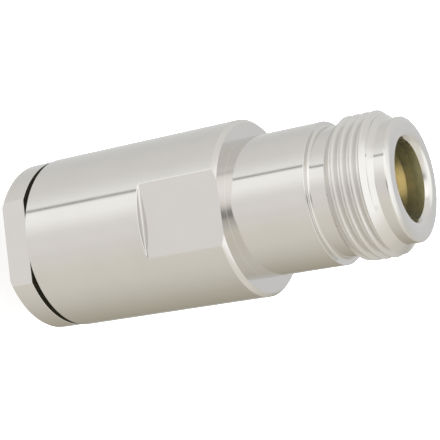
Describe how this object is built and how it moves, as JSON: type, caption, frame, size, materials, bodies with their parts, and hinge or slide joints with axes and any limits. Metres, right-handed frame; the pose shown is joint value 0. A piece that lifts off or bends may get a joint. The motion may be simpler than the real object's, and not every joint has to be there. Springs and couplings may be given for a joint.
{
  "type": "n type connector",
  "caption": "Straight clamp-type coaxial N socket with helical coupling thread, slotted gold contact, wrench flats and a cable clamp nut.",
  "frame": {"origin": "centre of the clamp nut's rear face, on which the connector stands", "axes": "+Z along the connector's axis, from the cable entry to the mating mouth; the wrench flats face -Y and +Y"},
  "size_m": [0.0202, 0.0202, 0.0478],
  "materials": {
    "plated_brass": "white bronze plated, satin",
    "gold_contact": "gold plated, polished",
    "ptfe": "turned white PTFE",
    "gasket_rubber": "matt moulded rubber"
  },
  "bodies": {
    "connector": {"shell": "plated_brass", "front_insulator": "ptfe", "centre_contact": "gold_contact", "rear_insulator": "ptfe", "braid_clamp": "plated_brass", "cable_gasket": "gasket_rubber"},
    "washer": {"slip_washer": "plated_brass"},
    "nut": {"clamp_nut": "plated_brass"}
  },
  "joints": [
    {"name": "nut_travel", "type": "slide", "parent": "connector", "child": "washer", "axis": [0, 0, -1], "range_m": [0, 0.006]},
    {"name": "nut_turn", "type": "hinge", "parent": "washer", "child": "nut", "pos_m": [0, 0, 0], "axis": [0, 0, -1], "range_deg": [0, 2040]}
  ],
  "couplings": [
    {"joint": "nut_travel", "follows": "nut_turn", "m_per_rad": 0.00016843}
  ]
}
